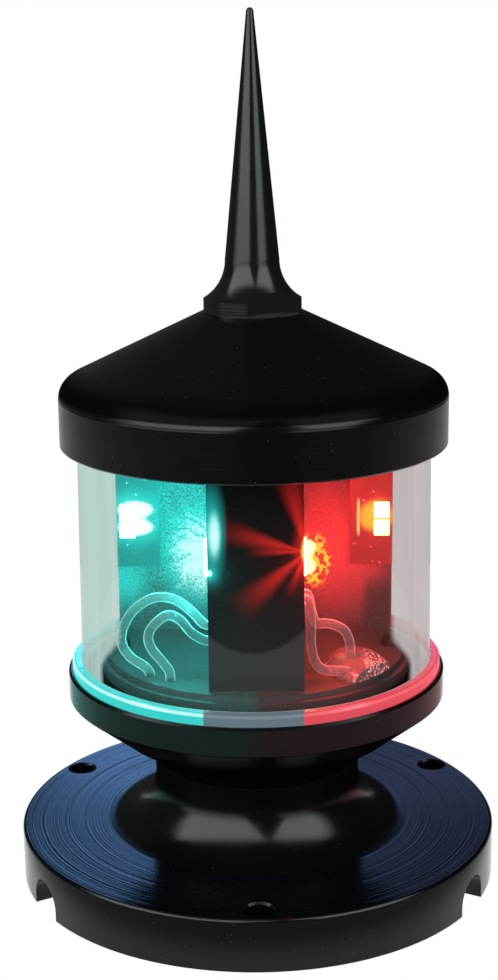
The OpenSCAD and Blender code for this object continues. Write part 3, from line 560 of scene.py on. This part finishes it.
for side_name, side, shade, watts in (
        ("starboard", -1, (0.03, 1.0, 0.93), 0.035), ("port", 1, (1.0, 0.02, 0.022), 0.06)):
    for row in (-1, 1):
        height = lamp_z + row * lamp_step
        lamp_light(f"{side_name}_beam_light", (side * 0.0102, -0.017, height), shade, watts)
        lamp_light(f"{side_name}_ahead_light", (side * 0.0239, 0.0058, height), shade,
                   watts * 0.06)
for place in (-0.005, 0.0, 0.005):
    lamp_light("stern_light", (place, 0.0152, lamp_z), (1.0, 0.95, 0.85), 0.15)
lamp_light("starboard_stray", (-0.0079, -0.0256, lamp_z - 0.001), (0.04, 1.0, 0.93), 0.006,
           0.0004)
lamp_light("port_stray", (0.0094, -0.0262, lamp_z - 0.0002), (1.0, 0.02, 0.02), 0.02, 0.0006)

# ------------------------------------------------------------------ Leads
# Tinned wires in clear sleeves, from each circuit board down through the
# carrier disc to the driver below. Each keeps its own springy bend.
disc_top = 0.042499
sleeve_r = 0.0009

sleeve_finish = Finish("clear_sleeve", Roughness=0.12, Coat_Weight=0.6, Coat_Roughness=0.05,
                       Specular_IOR_Level=0.9)
where = sleeve_finish.place()
x, y, z = sleeve_finish.split(where)
# Above the disc the sleeves show a painted glow of the lamps' colours: cyan to starboard, red to
# port.
lit_side = sleeve_finish.blend(
    sleeve_finish.rise(x, -1.0, 1.0), (0.05, 0.6, 0.56, 1), (0.42, 0.05, 0.05, 1))
above = sleeve_finish.rise(z, 41.0, 43.0) * (1 - sleeve_finish.rise(y, 6.0, 9.0))
sleeve_finish.set(
    Base_Color=sleeve_finish.blend(
        sleeve_finish.noise(where, 1.2), (0.2, 0.22, 0.22, 1), (0.5, 0.53, 0.53, 1)),
    Emission_Color=sleeve_finish.blend(
        above * (0.3 + 0.9 * sleeve_finish.noise(where, 0.6)), (0.0, 0.0, 0.0, 1), lit_side),
    Emission_Strength=1.0)
core = sleeve_finish.node("ShaderNodeLayerWeight", None, {"Blend": 0.35}, out=1)
clearer = sleeve_finish.node("ShaderNodeBsdfTransparent", None, {"Color": (0.9, 0.92, 0.92, 1)})
sleeve_finish.ends_in(sleeve_finish.node("ShaderNodeMixShader", None, {
    0: sleeve_finish.rise(core, 0.12, 0.6) * 0.75 + 0.1, 1: clearer, 2: sleeve_finish.gloss()}))

starboard_routes = [
    [(-7.9, -17, 9.9), (-9.2, -17, 9.9), (-11.5, -15.6, 11.9), (-14.5, -14, 13.5),
     (-18, -13, 13.5), (-21.5, -12.4, 11.3), (-23.6, -12.2, 8), (-24, -12.8, 5),
     (-22.4, -13.8, 2.7), (-19.8, -15, 1.3), (-18.9, -15.4, -0.1), (-18.9, -15.4, -2.5),
     (-18.9, -15.4, -4.5)],
    [(-7.9, -17, 6.9), (-9.2, -17, 6.9), (-11.4, -17, 8.3), (-13.4, -17, 10.7),
     (-15.6, -17, 11.5), (-18, -17, 9.7), (-19, -17, 7.5), (-18.4, -17.4, 5.5),
     (-16.4, -18, 3.1), (-15.3, -18.4, 1.5), (-15.2, -18.4, -0.1), (-15.2, -18.4, -2.5),
     (-15.2, -18.4, -4.5)],
]
port_routes = [
    [(7.9, -15.4, 14.5), (9.1, -15.4, 14.5), (9.8, -15.4, 11.5), (10.6, -15.4, 9.3),
     (12.8, -15.2, 9.1), (15.4, -14.8, 7.9), (16.6, -14.4, 5.5), (16.8, -14, 2.5),
     (16.8, -14, -0.1), (16.8, -14, -2.5), (16.8, -14, -4.5)],
    [(7.9, -18.8, 14.5), (9.1, -18.8, 14.5), (9.6, -18.8, 10.5), (9.6, -18.8, 6.5),
     (10.2, -18.8, 3.5), (11.8, -18.8, 1.8), (14.2, -18.6, 1.5), (16.2, -18.2, 1.1),
     (17, -18, -0.1), (17, -18, -2.5), (17, -18, -4.5)],
]
ahead_route = [
    (20.6, 9.5, 14.5), (20.6, 11.2, 14.5), (20.6, 12.8, 14.4), (20.3, 14, 12.5),
    (19.2, 14.2, 8.5), (17.4, 14.6, 4), (17, 14.8, 1.5), (17, 14.8, -0.1), (17, 14.8, -4.5)]
stern_route = [
    (0, 12.9, 15.5), (0, 14.2, 15.5), (0.3, 15.6, 13.5), (1.2, 17.4, 9), (1.9, 19.2, 3.5),
    (2, 19.6, 1), (2, 19.6, -4.5)]


def smooth_line(points, steps=6):
    """Points of a smooth curve through a route, in metres."""
    spots = [Vector((a, b, c + disc_top * 1000)) / 1000 for a, b, c in points]
    last = len(spots) - 1
    line = []
    for i in range(last):
        a, b, c, d = (spots[max(0, min(last, i + k))] for k in (-1, 0, 1, 2))
        for s in range(steps):
            t = s / steps
            line.append(0.5 * (2 * b + (c - a) * t + (2 * a - 5 * b + 4 * c - d) * t ** 2
                               + (3 * b - a - 3 * c + d) * t ** 3))
    return line + [spots[last]]


def sleeve_tree(finish):
    """Sweeps a round sleeve along every line of a mesh."""
    tree = bpy.data.node_groups.new("sleeve", "GeometryNodeTree")
    for label, kind, direction in (
            ("Geometry", "NodeSocketGeometry", "INPUT"), ("Radius", "NodeSocketFloat", "INPUT"),
            ("Geometry", "NodeSocketGeometry", "OUTPUT")):
        tree.interface.new_socket(label, in_out=direction, socket_type=kind)
    start = tree.nodes.new("NodeGroupInput")
    end = tree.nodes.new("NodeGroupOutput")
    steps = [tree.nodes.new(kind) for kind in (
        "GeometryNodeMeshToCurve", "GeometryNodeCurveToMesh", "GeometryNodeSetShadeSmooth",
        "GeometryNodeRealizeInstances", "GeometryNodeSetMaterial")]
    ring = tree.nodes.new("GeometryNodeCurvePrimitiveCircle")
    ring.inputs["Resolution"].default_value = 20
    tree.links.new(start.outputs["Radius"], ring.inputs["Radius"])
    tree.links.new(ring.outputs[0], steps[1].inputs["Profile Curve"])
    steps[1].inputs["Fill Caps"].default_value = True
    steps[4].inputs["Material"].default_value = finish.material
    passed = start.outputs["Geometry"]
    for step in steps:
        tree.links.new(passed, step.inputs[0])
        passed = step.outputs[0]
    tree.links.new(passed, end.inputs[0])
    return tree


def applied(made, tree, **values):
    """Turns an object with a Geometry Nodes tree into a plain mesh."""
    scene.collection.objects.link(made)
    worker = made.modifiers.new("made", "NODES")
    worker.node_group = tree
    for item in tree.interface.items_tree:
        if item.in_out == "INPUT" and item.name in values:
            worker[item.identifier] = values[item.name]
    graph = bpy.context.evaluated_depsgraph_get()
    plain_mesh = bpy.data.meshes.new_from_object(made.evaluated_get(graph))
    made.modifiers.remove(worker)
    made.data = plain_mesh
    return made


def leads(name, routes):
    """The sleeves of one group of leads, as one mesh."""
    lines, edges = [], []
    for route in routes:
        first = len(lines)
        lines += smooth_line(route)
        edges += [(i, i + 1) for i in range(first, len(lines) - 1)]
    mesh = bpy.data.meshes.new(name)
    mesh.from_pydata([tuple(p) for p in lines], edges, [])
    return applied(bpy.data.objects.new(name, mesh), sleeve_tree(sleeve_finish), Radius=sleeve_r)


for name, routes in (
        ("starboard_leads", starboard_routes), ("port_leads", port_routes),
        ("rear_leads", [ahead_route, stern_route, [(-a, b, c) for a, b, c in ahead_route]])):
    sleeves = leads(name + "_sleeves", routes)
    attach(sleeves, "light")
    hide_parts(name)

# ------------------------------------------------------------------ Sealant
# A dome of clear sealant pressed over the port leads where they pass the
# disc. It cured with small bubbles at its outer end. The bubbles and a wavy
# band along its foot carry a painted red glow of the port lamps, and the rest
# of the dome a faint one.
sealant_finish = Finish("cured_sealant", Roughness=0.16, Coat_Weight=0.3,
                        Specular_IOR_Level=0.5)
where = sealant_finish.place()
x, y, z = sealant_finish.split(where)
cells = sealant_finish.node("ShaderNodeTexVoronoi", None, {"Vector": where, "Scale": 1.5})
# The bubbles, which also carry a painted red glow.
bubbles_and_glow = sealant_finish.band(cells, 0.26, 0.42, 0.06) * sealant_finish.rise(x, 19.0, 20.0)
# A wavy band of painted red glow along the dome's foot.
skirt = (1 - sealant_finish.rise(z, 42.9, 43.6)) * sealant_finish.rise(
    sealant_finish.noise(where, 1.6, 3.0), 0.5, 0.6)
sealant_finish.set(
    Base_Color=sealant_finish.blend(bubbles_and_glow, (0.1, 0.1, 0.1, 1), (0.7, 0.7, 0.7, 1)),
    Emission_Color=sealant_finish.blend(
        bubbles_and_glow + skirt, (0.03, 0.004, 0.004, 1), (0.95, 0.12, 0.12, 1)),
    Emission_Strength=1.0)
sealant_finish.bump(bubbles_and_glow + sealant_finish.noise(where, 0.8), 0.0004, 0.6)
sealant_finish.cover("port_sealant")

# ------------------------------------------------------------------ Driver parts
# Moulded and sleeved parts on the driver board in the neck of the housing,
# out of sight unless the light is opened.
moulded = Finish("moulded_black", Base_Color=(0.02, 0.02, 0.02, 1), Roughness=0.5)
moulded.bump(moulded.noise(moulded.place(), 5.0), 0.0001, 0.4)
moulded.cover("driver_inductor", "driver_chip")
sleeved = Finish("capacitor_sleeve", Roughness=0.25)
x, y, z = sleeved.split(sleeved.place())
sleeved.set(Base_Color=sleeved.blend(sleeved.band(x, 2.6, 4.4, 0.1), (0.02, 0.04, 0.14, 1),
                                     (0.5, 0.52, 0.55, 1)))
sleeved.cover("driver_capacitor")
terminal = Finish("terminal_green", Base_Color=(0.03, 0.18, 0.07, 1), Roughness=0.4)
terminal.bump(terminal.noise(terminal.place(), 4.0), 0.0001, 0.3)
terminal.cover("terminal_block")

# ------------------------------------------------------------------ Spike
# A long pin turned in one piece with its flange and two wrench flats. It
# screws into the cap and keeps birds off.
spike_finish = Finish("satin_spike", Base_Color=(0.004, 0.004, 0.004, 1),
                      Specular_IOR_Level=0.25)
where = spike_finish.place()
x, y, z = spike_finish.split(where)
turning = spike_finish.node("ShaderNodeTexNoise", {"noise_dimensions": "1D"},
                            {"W": z, "Scale": 4.0, "Detail": 3.0})
spike_finish.set(Roughness=0.12 + 0.08 * spike_finish.noise(where, 0.5))
spike_finish.bump(turning, 0.0001, 0.1)
spike_finish.cover("spike")
